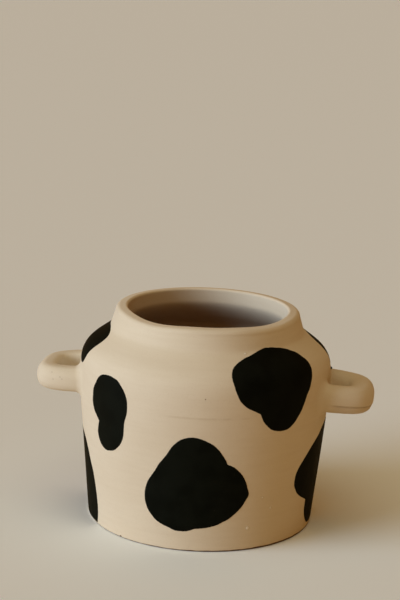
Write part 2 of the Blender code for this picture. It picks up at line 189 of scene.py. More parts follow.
# Lobes of each blotch's outline. A lobe is one smooth stretch of points, and two lobes meet in
# notches. A point is (across, up), as shares of the belly's radius and of the pot's height.
SPOT_SHARES = {
    "front_low": (
        ((0.230, 0.424), (0.216, 0.445), (0.188, 0.471), (0.152, 0.499), (0.099, 0.523),
         (0.037, 0.539), (-0.006, 0.546), (-0.049, 0.546), (-0.093, 0.540), (-0.136, 0.526),
         (-0.170, 0.507), (-0.199, 0.483)),
        ((-0.228, 0.452), (-0.262, 0.424), (-0.287, 0.401)),
        ((-0.312, 0.370), (-0.334, 0.349), (-0.352, 0.330), (-0.370, 0.306), (-0.381, 0.278),
         (-0.386, 0.245), (-0.381, 0.221), (-0.370, 0.197), (-0.354, 0.177), (-0.330, 0.158),
         (-0.300, 0.139), (-0.257, 0.123), (-0.202, 0.111), (-0.148, 0.099), (-0.103, 0.097),
         (-0.050, 0.101), (-0.017, 0.108)),
        ((0.002, 0.114), (0.055, 0.117), (0.107, 0.123), (0.159, 0.132), (0.210, 0.147),
         (0.262, 0.165), (0.304, 0.187), (0.345, 0.213), (0.377, 0.245), (0.396, 0.267),
         (0.399, 0.280), (0.388, 0.306), (0.372, 0.338), (0.346, 0.368), (0.310, 0.394),
         (0.270, 0.413)),
    ),
    "front_left": (
        ((0.172, 0.544), (0.178, 0.567), (0.196, 0.598), (0.206, 0.627), (0.206, 0.656),
         (0.198, 0.682), (0.176, 0.707), (0.144, 0.729), (0.102, 0.748), (0.059, 0.755),
         (0.016, 0.758), (-0.051, 0.755), (-0.095, 0.746), (-0.132, 0.728)),
        ((-0.157, 0.707), (-0.194, 0.675), (-0.206, 0.639), (-0.208, 0.605), (-0.187, 0.573),
         (-0.151, 0.551)),
        ((-0.116, 0.531), (-0.132, 0.502), (-0.139, 0.471), (-0.120, 0.440), (-0.089, 0.419),
         (-0.042, 0.407), (0.013, 0.410), (0.062, 0.421), (0.112, 0.446), (0.146, 0.474),
         (0.165, 0.509)),
    ),
    "front_right": (
        ((-0.172, 0.653), (-0.203, 0.663), (-0.241, 0.674), (-0.283, 0.688), (-0.315, 0.705),
         (-0.339, 0.724), (-0.362, 0.757), (-0.372, 0.786), (-0.374, 0.805), (-0.368, 0.822),
         (-0.353, 0.835), (-0.326, 0.849), (-0.294, 0.859), (-0.253, 0.869), (-0.207, 0.878),
         (-0.151, 0.886), (-0.107, 0.893), (-0.057, 0.902), (-0.004, 0.910), (0.028, 0.909)),
        ((0.054, 0.909), (0.078, 0.906), (0.151, 0.898), (0.199, 0.891), (0.241, 0.882),
         (0.291, 0.870), (0.329, 0.852), (0.356, 0.834), (0.361, 0.813), (0.352, 0.788),
         (0.332, 0.760), (0.306, 0.727), (0.278, 0.702), (0.247, 0.664)),
        ((0.222, 0.637), (0.193, 0.615), (0.149, 0.587), (0.109, 0.570), (0.064, 0.562),
         (-0.016, 0.565), (-0.060, 0.573), (-0.099, 0.589), (-0.137, 0.613), (-0.158, 0.634)),
    ),
    "left_shoulder": (
        ((0.120, 0.906), (0.267, 0.904), (0.334, 0.895), (0.385, 0.886), (0.424, 0.875),
         (0.452, 0.860), (0.472, 0.838), (0.477, 0.815), (0.476, 0.797), (0.470, 0.778),
         (0.456, 0.761), (0.432, 0.749), (0.386, 0.743), (0.330, 0.750), (0.200, 0.776),
         (0.050, 0.787), (-0.130, 0.773), (-0.300, 0.750), (-0.420, 0.759), (-0.478, 0.800),
         (-0.450, 0.849), (-0.350, 0.879), (-0.200, 0.897), (-0.050, 0.904)),
    ),
    "right_shoulder": (
        ((-0.250, 0.882), (-0.330, 0.880), (-0.395, 0.864), (-0.452, 0.842), (-0.497, 0.815),
         (-0.502, 0.782), (-0.470, 0.752), (-0.400, 0.729), (-0.300, 0.719), (-0.200, 0.714),
         (-0.050, 0.701), (0.110, 0.697), (0.240, 0.714), (0.330, 0.755), (0.340, 0.804),
         (0.270, 0.845), (0.140, 0.873), (0.000, 0.885), (-0.130, 0.886)),
    ),
    "left_long": (
        ((0.348, 0.009), (0.300, 0.007)),
        ((0.250, 0.007), (0.000, 0.007), (-0.200, 0.012), (-0.330, 0.032), (-0.390, 0.080),
         (-0.430, 0.153), (-0.390, 0.252), (-0.300, 0.323), (-0.190, 0.375), (-0.060, 0.411),
         (0.060, 0.414), (0.169, 0.401), (0.229, 0.375), (0.269, 0.341), (0.301, 0.301),
         (0.335, 0.261), (0.355, 0.218), (0.368, 0.169), (0.375, 0.123), (0.373, 0.074),
         (0.361, 0.037)),
    ),
    "right_low": (
        ((-0.216, 0.168), (-0.288, 0.190), (-0.358, 0.217), (-0.398, 0.244), (-0.423, 0.272),
         (-0.428, 0.306), (-0.416, 0.337), (-0.394, 0.357), (-0.366, 0.376), (-0.327, 0.398),
         (-0.289, 0.418), (-0.241, 0.438), (-0.189, 0.455), (-0.135, 0.471), (-0.091, 0.488),
         (-0.034, 0.501), (0.040, 0.512), (0.110, 0.512), (0.200, 0.480), (0.290, 0.417),
         (0.330, 0.343), (0.310, 0.263)),
        ((0.240, 0.190), (0.235, 0.123), (0.180, 0.062), (0.090, 0.030), (-0.039, 0.024),
         (-0.093, 0.030), (-0.138, 0.047), (-0.181, 0.076), (-0.206, 0.106), (-0.214, 0.137)),
    ),
    "back_low": (
        ((0.230, 0.135), (0.320, 0.157), (0.390, 0.211), (0.380, 0.288), (0.290, 0.346),
         (0.150, 0.373), (0.000, 0.359)),
        ((-0.090, 0.337), (-0.200, 0.350), (-0.310, 0.323), (-0.370, 0.261), (-0.350, 0.180),
         (-0.250, 0.117), (-0.080, 0.090), (0.110, 0.094)),
    ),
    "back_high": (
        ((-0.100, 0.449), (0.050, 0.431), (0.190, 0.449), (0.270, 0.512), (0.270, 0.593),
         (0.180, 0.647), (0.050, 0.656)),
        ((-0.060, 0.629), (-0.160, 0.651), (-0.260, 0.620), (-0.300, 0.557), (-0.250, 0.490)),
    ),
    "back_left": (
        ((0.060, 0.440), (0.160, 0.467), (0.210, 0.530), (0.180, 0.602), (0.120, 0.660),
         (0.020, 0.687), (-0.090, 0.669), (-0.170, 0.611), (-0.190, 0.539), (-0.140, 0.467),
         (-0.040, 0.431)),
    ),
    "back_right": (
        ((0.000, 0.117), (0.110, 0.135), (0.180, 0.198), (0.170, 0.279), (0.100, 0.341)),
        ((0.030, 0.350), (-0.060, 0.386), (-0.150, 0.359), (-0.190, 0.288), (-0.180, 0.198),
         (-0.110, 0.135)),
    ),
}

# Colours
CREAM = (0.70, 0.63, 0.505)
CREAM_WARM = (0.68, 0.605, 0.475)
CREAM_THIN = (0.63, 0.55, 0.42)
# Cream darkened as painted shade, for the seam, the mould's groove and the band below it
CREAM_SHADED = (0.50, 0.40, 0.28)
CREAM_SPECK = (0.95, 0.92, 0.86)
CLAY = (0.30, 0.155, 0.075)
CLAY_PALE = (0.37, 0.205, 0.11)
CLAY_DARK = (0.17, 0.08, 0.038)
# Clay of the foot's bared band, darkened as painted contact shadow
CLAY_FOOT_SHADED = (0.09, 0.037, 0.013)
BLACK = (0.0026, 0.0037, 0.0023)
BLACK_THIN = (0.0046, 0.0060, 0.0039)
DUST = (0.20, 0.19, 0.17)
FLOOR_COLOUR = (0.80, 0.67, 0.45)
FLOOR_SEEN = (0.87, 0.94, 1.0)
AMBIENT_COLOUR = (1.0, 0.40, 0.04)
BACKDROP_COLOUR = (0.48, 0.42, 0.33)

# Grain of the finishes: how large each kind is, and how deep its relief. Below, a FADE runs
# from where a mark starts to change to where it has changed.
CLOUD = 45 * MM
STROKE_LENGTH = 26 * MM
STROKE_WIDTH = 2.4 * MM
SPECKLE = 0.9 * MM
BRISTLE_LENGTH = 14 * MM
BRISTLE_WIDTH = 1.6 * MM
BRISTLE_RELIEF = 0.02 * MM
PEEL = 3.4 * MM
PEEL_RELIEF = 0.05 * MM
GRAIN = 0.5 * MM
GRAIN_RELIEF = 0.045 * MM
GROG = 0.7 * MM
TURNING_LENGTH = 60 * MM
TURNING_WIDTH = 2.2 * MM
CLAY_LUMP = 1.2 * MM
CLAY_LUMP_RELIEF = 0.12 * MM
CLAY_GRAIN = 0.4 * MM
CLAY_GRAIN_RELIEF = 0.05 * MM
CREAM_PATCH = 6 * MM
INSIDE_PATCH = 5 * MM
CLAY_PATCH = 4 * MM
BLACK_PATCH = 12 * MM
DUST_SIZE = 0.5 * MM
DUST_PITCH = 9 * MM
DUST_RARE = 0.7
DUST_RELIEF = 0.08 * MM
DUST_SHADE = 0.35

# Roughness of each finish, from its smooth patches to its rough ones, and its shine
CREAM_ROUGHNESS = (0.78, 0.9)
INSIDE_ROUGHNESS = (0.82, 0.94)
CLAY_ROUGHNESS = (0.85, 0.95)
BLACK_ROUGHNESS = (0.58, 0.7)
CREAM_SHINE = 0.35
INSIDE_SHINE = 0.3
CLAY_SHINE = 0.25
BLACK_SHINE = 0.04

# Where the cream paint ends inside, and how far it wanders and fades there
PAINT_INSIDE = 101 * MM
PAINT_INSIDE_BLUR = 3 * MM
PAINT_INSIDE_WAVER = 14 * MM
PAINT_RELIEF = 0.1 * MM

# Cream paint smeared over the edge of the foot ring
SMEAR_FADE = (BASE_RADIUS - 0.5 * MM, BASE_RADIUS + 1.5 * MM)
SMEAR_WAVER = 3 * MM
SMEAR_PITCH = 4 * MM

# Faint seam that the mould left across the front, darkened along its line as painted shade. A place
# on the wall is its azimuth in degrees, from the front, and its height.
SEAM_HEIGHT = 85.9 * MM
SEAM_SHOWN = (9, SEAM_HEIGHT)
SEAM_LENGTH = 54 * MM
SEAM_FADE = (0.2 * MM, 1 * MM)
SEAM_WAVER = 0.3 * MM
SEAM_WAVER_PITCH = 14 * MM
SEAM_BREAKS = 9 * MM
SEAM_SHADE = 0.32
SEAM_RELIEF = 0.06 * MM

# The mould's line round the right handle, a groove with a band below it, both darkened as
# painted shade, which shows from a distance along X
MOULD_SHOWN = (80 * MM, 86 * MM)
MOULD_SHADE_FADE = (-0.5 * MM, 0.2 * MM)
MOULD_SHADE = 0.3
GROOVE_FADE = (0.1 * MM, 0.6 * MM)
GROOVE_SHADE = 0.6
GROOVE_RELIEF = -0.35 * MM

# Clay bared along the foot's edge, higher up towards +X, and one chip. The band is partly painted
# contact shadow: its dark colour and its rise towards +X paint the shade away from the window.
BARED_FADE = (0.5 * MM, 0.9 * MM)
BARED_WAVER = 0.3 * MM
BARED_WAVER_PITCH = 6 * MM
BARED_SHADE_SLOPE = -0.008
BARED_RELIEF = -0.12 * MM
CHIP = (-34.7, 0.6 * MM)
CHIP_SIZE = 1.6 * MM

# Pinholes and raised specks: single ones, most of them where the photograph shows them, and
# finer ones all over
PINHOLE = 0.8 * MM
PINHOLES = ((7.6, 98 * MM), (-66, 52 * MM), (150, 44 * MM))
PINHOLE_FINE = 0.7 * MM
PINHOLE_PITCH = 17 * MM
PINHOLE_RARE = 0.72
PINHOLE_SHADE = 0.8
PINHOLE_RELIEF = -0.3 * MM
HANDLE_PIT = 0.55 * MM
HANDLE_PITS = (
    (-93.8 * MM, -23 * MM, 91.1 * MM),
    (-92.6 * MM, -24.7 * MM, 87.1 * MM),
    (-88 * MM, -25.7 * MM, 89.1 * MM),
    (-86.6 * MM, -26.2 * MM, 88 * MM),
)
SPECKS = (
    (37.3, 33.8 * MM, 1.2 * MM),
    (30.9, 14.8 * MM, 2.2 * MM),
    (42.6, 25.8 * MM, 1.6 * MM),
    (29.0, 120.8 * MM, 1.3 * MM),
    (172.0, 96 * MM, 1.5 * MM),
)
SPECK_FINE = 0.8 * MM
SPECK_PITCH = 23 * MM
SPECK_RARE = 0.8
SPECK_RELIEF = 0.5 * MM

# A small black dome over the right handle's root, a dot of painted shade where the crease is dark
SHADE_DOT = (92.3, 100.3 * MM)
SHADE_DOT_RADIUS = 0.95 * MM

# Light, and the photograph's camera
AMBIENT = 0.24
WINDOW_DEG = (-59, 11)
WINDOW_LIGHT = 2.96
WINDOW_SPREAD_DEG = 40
WINDOW_COLOUR = (0.775, 0.89, 1.0)
CEILING_DEG = (-10, 72)
CEILING_LIGHT = 0.67
CEILING_SPREAD_DEG = 60
CEILING_COLOUR = (0.94, 0.99, 0.72)
FLOOR_SIZE = 60.0
SENSOR = 36.0
FOCAL_PIXELS = 1557.3
PHOTO_HEIGHT_PIXELS = 600
CAMERA_AZIMUTH_DEG = 7.0
CAMERA_DISTANCE = 948.6 * MM
CAMERA_HEIGHT = 361.1 * MM
CAMERA_YAW_DEG = -0.320
CAMERA_PITCH_DEG = 13.188
CAMERA_ROLL_DEG = 2.420


def cubic(start, lead, trail, end, t):
    """What a cubic curve reaches at the share t of its way."""
    s = 1 - t
    return s ** 3 * start + 3 * s * s * t * lead + 3 * s * t * t * trail + t ** 3 * end


def bezier(start, lead, trail, end, spacing):
    """Points of one cubic curve in (radius, height)."""
    count = max(2, round(float(np.linalg.norm(np.subtract(end, start))) / spacing))
    return cubic(start, lead, trail, end, np.linspace(0, 1, count + 1)[:, None])


def line(start, end, spacing):
    """Points of a straight stretch in (radius, height)."""
    count = max(1, round(float(np.linalg.norm(np.subtract(end, start))) / spacing))
    t = np.linspace(0, 1, count + 1)[:, None]
    return (1 - t) * np.array(start) + t * np.array(end)


def arc(centre, radius, start_deg, end_deg, spacing):
    """Points of a circular arc in (radius, height), angles from +radius towards +height."""
    count = max(3, round(math.radians(abs(end_deg - start_deg)) * radius / spacing))
    angles = np.radians(np.linspace(start_deg, end_deg, count + 1))
    return np.array(centre) + radius * np.column_stack([np.cos(angles), np.sin(angles)])


def joined(*stretches):
    """One row of points from several that meet end to end."""
    return np.concatenate([stretches[0]] + [stretch[1:] for stretch in stretches[1:]])


def offset(points, distance):
    """The same line moved outwards by a distance, for points that run down the outside."""
    along = np.gradient(points, axis=0)
    along /= np.linalg.norm(along, axis=1)[:, None]
    return points + distance * np.column_stack([-along[:, 1], along[:, 0]])


def unit(vectors):
    """The same vectors at length 1."""
    return vectors / np.linalg.norm(vectors, axis=-1, keepdims=True)


def shoulder_direction():
    """Which way the shoulder sets off from the neck's root."""
    slope = math.radians(SHOULDER_SLOPE_DEG)
    return np.array((math.cos(slope), -math.sin(slope)))


def root_wall():
    """Outside of the neck, from the foot of the rim's roll to the top of the shoulder."""
    corner = np.array((NECK_ROOT_RADIUS, ROOT_HEIGHT))
    roll_foot = np.array((RIM_RADIUS, ROLL_HEIGHT))
    above = corner + unit(roll_foot - corner) * ROOT_FILLET
    below = corner + shoulder_direction() * ROOT_FILLET
    return joined(line(roll_foot, above, OUTER_SPACING),
                  bezier(above, corner, corner, below, FINE_SPACING))


def body_wall():
    """Outside from the top of the shoulder down to the foot's edge."""
    down = shoulder_direction()
    start = np.array((NECK_ROOT_RADIUS, ROOT_HEIGHT)) + down * ROOT_FILLET
    belly = np.array((BELLY_RADIUS, BELLY_HEIGHT))
    flank = np.array((FLANK_RADIUS, FLANK_HEIGHT))
    foot = np.array((BASE_RADIUS, FOOT_EDGE))
    lean = unit(flank - foot)
    level = np.array((0, 1))
    shoulder = bezier(start, start + down * SHOULDER_RUN, belly + level * SHOULDER_TURN, belly,
                      OUTER_SPACING)
    upper = bezier(belly, belly - level * BELLY_TURN, flank + lean * BELLY_TURN, flank,
                   OUTER_SPACING)
    return joined(shoulder, upper, line(flank, foot, OUTER_SPACING))


OUTER = joined(root_wall(), body_wall())
OUTER_RUN = np.concatenate([[0], np.cumsum(np.linalg.norm(np.diff(OUTER, axis=0), axis=1))])


def wall_radius(height):
    """Outside radius of the wall at a height."""
    return np.interp(height, OUTER[::-1, 1], OUTER[::-1, 0])


def run_at(height):
    """Length down the outside, from the rim's roll to a height."""
    return np.interp(height, OUTER[::-1, 1], OUTER_RUN[::-1])


def on_wall(flat, lift=0.0):
    """Points on the outside from flat ones: (angle about Z times the belly's radius, run down)."""
    flat = np.asarray(flat)
    angle = flat[:, 0] / BELLY_RADIUS
    radius = np.interp(flat[:, 1], OUTER_RUN, OUTER[:, 0])
    height = np.interp(flat[:, 1], OUTER_RUN, OUTER[:, 1])
    slope = unit(np.column_stack([np.interp(flat[:, 1], OUTER_RUN, part)
                                  for part in np.gradient(OUTER, axis=0).T]))
    radius = radius - slope[:, 1] * lift
    height = height + slope[:, 0] * lift
    return np.column_stack([radius * np.cos(angle), radius * np.sin(angle), height])


def flattened(points):
    """Flat places, as on_wall takes them, of points near the outside."""
    angle = np.unwrap(np.arctan2(points[:, 1], points[:, 0]))
    return np.column_stack([angle * BELLY_RADIUS, run_at(points[:, 2])])


def wall_place(azimuth_deg, height):
    """A point on the outside, from its azimuth and height."""
    angle = math.radians(azimuth_deg - 90)
    radius = float(wall_radius(height))
    return (radius * math.cos(angle), radius * math.sin(angle), height)


def inner_wall():
    """Inside from the lip down to the floor's middle."""
    lip_radius = RIM_RADIUS - RIM_WIDTH
    lip_top = np.array((lip_radius, POT_HEIGHT - RIM_INNER_ROUNDING))
    lip_foot = np.array((lip_radius, ROLL_HEIGHT - LIP_DEPTH))
    fillet_height = FLOOR + FLOOR_FILLET
    body = offset(body_wall(), -WALL)
    body = body[body[:, 1] > fillet_height][::2]
    along = unit(body[0] - body[1])
    under_lip = bezier(lip_foot, lip_foot - (0, LIP_TURN), body[0] + along * LIP_TURN, body[0],
                       OUTER_SPACING)
    side = wall_radius(fillet_height) - WALL
    fillet = arc((side - FLOOR_FILLET, fillet_height), FLOOR_FILLET, 0, -90, OUTER_SPACING)
    return joined(line(lip_top, lip_foot, OUTER_SPACING), under_lip, body,
                  line(body[-1], fillet[0], INNER_SPACING), fillet,
                  line(fillet[-1], (0, FLOOR), INNER_SPACING))


def rim_top():
    """Crisp inner edge, top that falls a little outwards, and rounded outer edge of the rim."""
    inner = arc((RIM_RADIUS - RIM_WIDTH + RIM_INNER_ROUNDING, POT_HEIGHT - RIM_INNER_ROUNDING),
                RIM_INNER_ROUNDING, 180, 90, FINE_SPACING / 2)
    outer = arc((RIM_RADIUS - RIM_ROUNDING, ROLL_HEIGHT), RIM_ROUNDING, 90, 0, FINE_SPACING)
    return joined(inner, line(inner[-1], outer[0], FINE_SPACING), outer)


def foot_edge():
    """Rounded outer edge of the foot."""
    return arc((BASE_RADIUS - FOOT_EDGE, FOOT_EDGE), FOOT_EDGE, 0, -90, FINE_SPACING / 2)


def underside():
    """Foot ring and the recess that it stands round."""
    ring = BASE_RADIUS - FOOT_EDGE - FOOT_RING_WIDTH
    slope_end = ring - FOOT_RECESS_SLOPE
    return joined(line((BASE_RADIUS - FOOT_EDGE, 0), (ring, 0), INNER_SPACING),
                  line((ring, 0), (slope_end, FOOT_RECESS), FINE_SPACING),
                  line((slope_end, FOOT_RECESS), (0, FOOT_RECESS), INNER_SPACING))


def handmade(points):
    """The slight unevenness of a hand-finished casting, always inwards or down."""
    points = np.array(points, float)
    angle = np.arctan2(points[:, 1], points[:, 0])
    rise = points[:, 2] / UNEVEN_PITCH * math.tau
    waves = [np.sin(count * angle + phase + speed * rise) for count, phase, speed in UNEVEN_WAVES]
    points[:, :2] *= (1 - UNEVEN * (1 + np.mean(waves, axis=0)) / BELLY_RADIUS)[:, None]
    near_rim = np.clip((points[:, 2] - ROOT_HEIGHT) / (ROLL_HEIGHT - ROOT_HEIGHT), 0, 1)
    for azimuth_deg, reach_deg, depth in RIM_DIPS:
        gap_deg = (np.degrees(angle) + 90 - azimuth_deg + 180) % 360 - 180
        dip = np.cos(np.clip(gap_deg / reach_deg, -1, 1) * math.pi / 2) ** 2
        points[:, 2] -= depth * dip * near_rim
    return points


class Skin:
    """Points and faces of one mesh, gathered from sheets whose edges coincide.

    A slot is the number of the material that a sheet's faces take. The unevenness of the casting
    comes last, in build, so that all that lies on it follows it.
    """

    def __init__(self):
        self.points = []
        self.faces = []
        self.slots = []

    def add(self, points, faces, slot=0):
        start = len(self.points)
        self.points.extend(tuple(point) for point in points)
        self.faces.extend(tuple(start + int(corner) for corner in face) for face in faces)
        self.slots.extend([slot] * len(faces))

    def add_grid(self, rings, closed, slot=0):
        """Quads between rings of equally many points."""
        rings = np.asarray(rings)
        rows, columns = rings.shape[:2]
        across = columns if closed else columns - 1
        faces = [(row * columns + column, row * columns + (column + 1) % columns,
                  (row + 1) * columns + (column + 1) % columns, (row + 1) * columns + column)
                 for row in range(rows - 1) for column in range(across)]
        self.add(rings.reshape(-1, 3), faces, slot)

    def build(self, name, materials):
        mesh = bpy.data.meshes.new(name)
        mesh.from_pydata([tuple(point) for point in handmade(self.points)], [], self.faces)
        for material in materials:
            mesh.materials.append(material)
        mesh.polygons.foreach_set("material_index", self.slots)
        work = bmesh.new()
        work.from_mesh(mesh)
        bmesh.ops.remove_doubles(work, verts=work.verts, dist=WELD)
        bmesh.ops.recalc_face_normals(work, faces=work.faces)
        work.to_mesh(mesh)
        work.free()
        mesh.shade_smooth()
        made = bpy.data.objects.new(name, mesh)
        bpy.context.scene.collection.objects.link(made)
        return made


def turned(profile):
    """Rings of a profile in (radius, height) turned about Z."""
    angles = np.arange(COLUMNS) * math.tau / COLUMNS
    radius, height = np.asarray(profile).T
    return np.stack([np.outer(radius, np.cos(angles)), np.outer(radius, np.sin(angles)),
                     np.outer(height, np.ones(COLUMNS))], axis=-1)


def superellipse(half_width, half_height, power, angles):
    """Points of a rounded box: an ellipse at power 2, and squarer above."""
    c, s = np.cos(angles), np.sin(angles)
    return np.column_stack([half_width * np.sign(c) * np.abs(c) ** (2 / power),
                            half_height * np.sign(s) * np.abs(s) ** (2 / power)])


def handle_place(handle):
    """Where a handle's own axes sit on the wall."""
    return (Matrix.Rotation(math.radians(handle["turn_deg"]), 4, "Z")
            @ Matrix.Translation((wall_radius(HANDLE_SEAT), 0, HANDLE_SEAT + handle["lift"]))
            @ Matrix.Rotation(math.radians(handle["droop_deg"]), 4, "Y")
            @ Matrix.Rotation(math.radians(handle["roll_deg"]), 4, "X"))


def handle_section(handle):
    """Section of the loop, how far the mould's step insets it, and its share of the swelling."""
    half = handle["height"] / 2
    edges = [-MOULD_BELOW_MIDDLE + side * MOULD_STEP_WIDTH / 2 for side in (-1, 1)]
    extra = [math.asin(-(abs(edge) / half) ** (HANDLE_SECTION_POWER / 2)) for edge in edges]
    angles = np.arange(SECTION_POINTS) * math.tau / SECTION_POINTS
    extra = np.array(extra + [math.pi - angle for angle in extra]) % math.tau
    angles = np.sort(np.concatenate([angles, extra]))
    outer, upper = np.cos(angles) > 0, np.sin(angles) > 0
    power = np.where(outer & upper, HANDLE_CROWN_POWER, HANDLE_SECTION_POWER)
    power = np.where(~outer & upper, handle["crown_power"], power)
    points = superellipse(HANDLE_BAND / 2, half, power, angles)
    below = np.clip((-MOULD_BELOW_MIDDLE - points[:, 1]) / MOULD_STEP_WIDTH + 0.5, 0, 1)
    across = points[:, 0] / (HANDLE_BAND / 2)
    inset = -below[:, None] * np.column_stack([across, np.minimum(points[:, 1] / half, 0)])
    return points, inset, np.minimum(across, 0)


def handle_lines(handle):
    """Lines along the loop, one for each point of its section: (points along, section, xyz)."""
    reach = HANDLE_TIP - HANDLE_SHY - wall_radius(HANDLE_SEAT) + HANDLE_ROOT - HANDLE_BAND / 2
    half_breadth = (HANDLE_BREADTH - HANDLE_BAND) / 2
    angles = np.linspace(-math.pi / 2, math.pi / 2, LINE_POINTS * PLAN_FINENESS)
    plan = superellipse(reach, half_breadth, HANDLE_PLAN_POWER, angles)
    run = np.concatenate([[0], np.cumsum(np.linalg.norm(np.diff(plan, axis=0), axis=1))])
    even = np.linspace(0, run[-1], LINE_POINTS)
    plan = np.column_stack([np.interp(even, run, part) for part in plan.T])
    along = unit(np.gradient(plan, axis=0))
    outwards = np.column_stack([along[:, 1], -along[:, 0]])
    plan[:, 0] -= HANDLE_ROOT
    section, inset, inner_share = handle_section(handle)
    step = handle["mould_step"] * np.interp(plan[:, 0], MOULD_FADE, (0, 1))
    section = section[None] + step[:, None, None] * inset[None]
    at_tip = np.clip(outwards[:, :1], 0, 1)
    section[..., 0] += (HANDLE_SWELL + handle["tip_swell"] * at_tip) * inner_share
    flat = plan[:, None, :] + section[..., :1] * outwards[:, None, :]
    local = np.concatenate([flat, section[..., 1:]], axis=-1)
    place = np.array(handle_place(handle))
    return local @ place[:3, :3].T + place[:3, 3]


def at_run(lines, runs, wanted):
    """The point of each line at its wanted run."""
    return np.stack([[np.interp(wanted[k], runs[:, k], lines[:, k, axis]) for axis in range(3)]
                     for k in range(lines.shape[1])])


def handle_root(lines, runs, step):
    """One limb's root: where its fillet starts, the fillet's rings, and its flat seat on the wall."""
    clear = np.hypot(lines[..., 0], lines[..., 1]) - wall_radius(lines[..., 2])
    crossing = np.zeros(lines.shape[1])
    for k in range(lines.shape[1]):
        index = LINE_POINTS // 2
        while clear[index, k] > 0:
            index += step
        share = clear[index, k] / (clear[index, k] - clear[index - step, k])
        crossing[k] = runs[index, k] + share * (runs[index - step, k] - runs[index, k])
    starts = crossing - step * HANDLE_FILLET
    corner = at_run(lines, runs, crossing)
    start = at_run(lines, runs, starts)
    ring = np.roll(corner, -1, axis=0) - np.roll(corner, 1, axis=0)
    normal = np.column_stack([corner[:, :2], np.zeros(len(corner))])
    away = unit(np.cross(ring, normal))
    if np.sum(away * (corner - corner.mean(0))) < 0:
        away = -away
    seat_flat = flattened(corner + away * HANDLE_FILLET)
    seat = on_wall(seat_flat)
    pull = HANDLE_FILLET_PULL * HANDLE_FILLET
    lead = start + unit(corner - start) * pull
    trail = seat + unit(corner - seat) * pull
    rings = [cubic(start, lead, trail, seat, t) for t in np.linspace(0, 1, FILLET_RINGS + 1)]
    return starts, rings, seat_flat


def add_handle(skin, handle):
    """The loop and its two filleted roots. Returns the flat outlines of the roots on the wall."""
    lines = handle_lines(handle)
    steps = np.linalg.norm(np.diff(lines, axis=0), axis=2)
    runs = np.concatenate([np.zeros((1, lines.shape[1])), np.cumsum(steps, axis=0)])
    outlines = []
    ends = []
    for step in (-1, 1):
        starts, rings, outline = handle_root(lines, runs, step)
        skin.add_grid(rings, closed=True)
        outlines.append(outline)
        ends.append(starts)
    shares = np.linspace(0, 1, LOOP_RINGS + 1)
    loop = [at_run(lines, runs, (1 - t) * ends[0] + t * ends[1]) for t in shares]
    skin.add_grid(loop, closed=True)
    return outlines


def inside_outline(points, outline):
    """Which flat points lie inside a closed outline."""
    inside = np.zeros(len(points), bool)
    for (x0, y0), (x1, y1) in zip(outline, np.roll(outline, -1, axis=0)):
        crosses = (y0 > points[:, 1]) != (y1 > points[:, 1])
        reach = x0 + (points[:, 1] - y0) * (x1 - x0) / np.where(y1 == y0, 1, y1 - y0)
        inside ^= crosses & (points[:, 0] < reach)
    return inside


def distance_to(points, outline):
    """Distance of flat points to a closed outline."""
    nearest = np.full(len(points), np.inf)
    for start, end in zip(outline, np.roll(outline, -1, axis=0)):
        along = end - start
        t = np.clip((points - start) @ along / (along @ along), 0, 1)
        nearest = np.minimum(nearest, np.linalg.norm(points - start - t[:, None] * along, axis=1))
    return nearest


def triangulated(points, loops):
    """Triangles over flat points, with closed loops of point numbers kept as edges."""
    edges = [(a, b) for loop in loops for a, b in zip(loop, loop[1:] + loop[:1])]
    made = delaunay_2d_cdt([Vector(p) for p in points], edges, [], 0, WELD / 10)
    return np.array([v[:] for v in made[0]]), np.array([face[:] for face in made[2]])


def add_rooted_wall(skin, outlines, columns, rows):
    """The rectangle of wall round a handle's roots, pierced by their outlines."""
    angles = np.arange(columns[0], columns[1] + 1) * math.tau / COLUMNS * BELLY_RADIUS
    runs = OUTER_RUN[rows[0]:rows[1] + 1]
    grid = np.array([(angle, run) for run in runs for angle in angles])
    outlines = [outline - (turns(outline, angles.mean()), 0) for outline in outlines]
    border = np.isin(grid[:, 0], angles[[0, -1]]) | np.isin(grid[:, 1], runs[[0, -1]])
    keep = np.ones(len(grid), bool)
    for outline in outlines:
        keep &= ~inside_outline(grid, outline) & (distance_to(grid, outline) > ROOT_CLEAR)
    points = list(grid[keep | border])
    loops = []
    for outline in outlines:
        loops.append(list(range(len(points), len(points) + len(outline))))
        points.extend(outline)
    flat, faces = triangulated(points, loops)
    centres = flat[faces].mean(axis=1)
    solid = np.ones(len(faces), bool)
    for outline in outlines:
        solid &= ~inside_outline(centres, outline)
    skin.add(on_wall(flat), faces[solid])


def turns(outline, middle):
    """Whole turns, as a flat distance, between an outline and a middle."""
    around = math.tau * BELLY_RADIUS
    return round((outline[:, 0].mean() - middle) / around) * around


def add_outer_wall(skin):
    """The outside of the pot, with both handles rooted in it."""
    half = COLUMNS // 2
    reach = (HANDLE_BREADTH / 2 + HANDLE_FILLET * 2) / BELLY_RADIUS
    wide = math.ceil(reach / math.tau * COLUMNS)
    tall = max(handle["height"] for handle in HANDLES) / 2 + HANDLE_FILLET * 2
    rows = [int(np.argmin(np.abs(OUTER[:, 1] - HANDLE_SEAT - side * tall))) for side in (1, -1)]
    rings = turned(OUTER)
    for handle, middle in zip(HANDLES, (0, half)):
        add_rooted_wall(skin, add_handle(skin, handle), (middle - wide, middle + wide), rows)
    whole = [(slice(0, rows[0] + 1), 0, COLUMNS), (slice(rows[1], None), 0, COLUMNS)]
    between = [(slice(rows[0], rows[1] + 1), wide, half - wide),
               (slice(rows[0], rows[1] + 1), half + wide, COLUMNS - wide)]
    for part, first, last in whole + between:
        picked = np.arange(first, last + 1) % COLUMNS
        skin.add_grid(rings[part][:, picked], closed=False)


def make_casting(outside, inside, clay):
    """Pot and handles as the one casting that they are."""
    skin = Skin()
    add_outer_wall(skin)
    skin.add_grid(turned(rim_top()), closed=True)
    skin.add_grid(turned(foot_edge()), closed=True)
    skin.add_grid(turned(inner_wall()), closed=True, slot=1)
    skin.add_grid(turned(underside()), closed=True, slot=2)
    casting = skin.build("crock_casting", [outside, inside, clay])
    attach(casting, "root")
    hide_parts("jar_body", "handle_left", "handle_right")


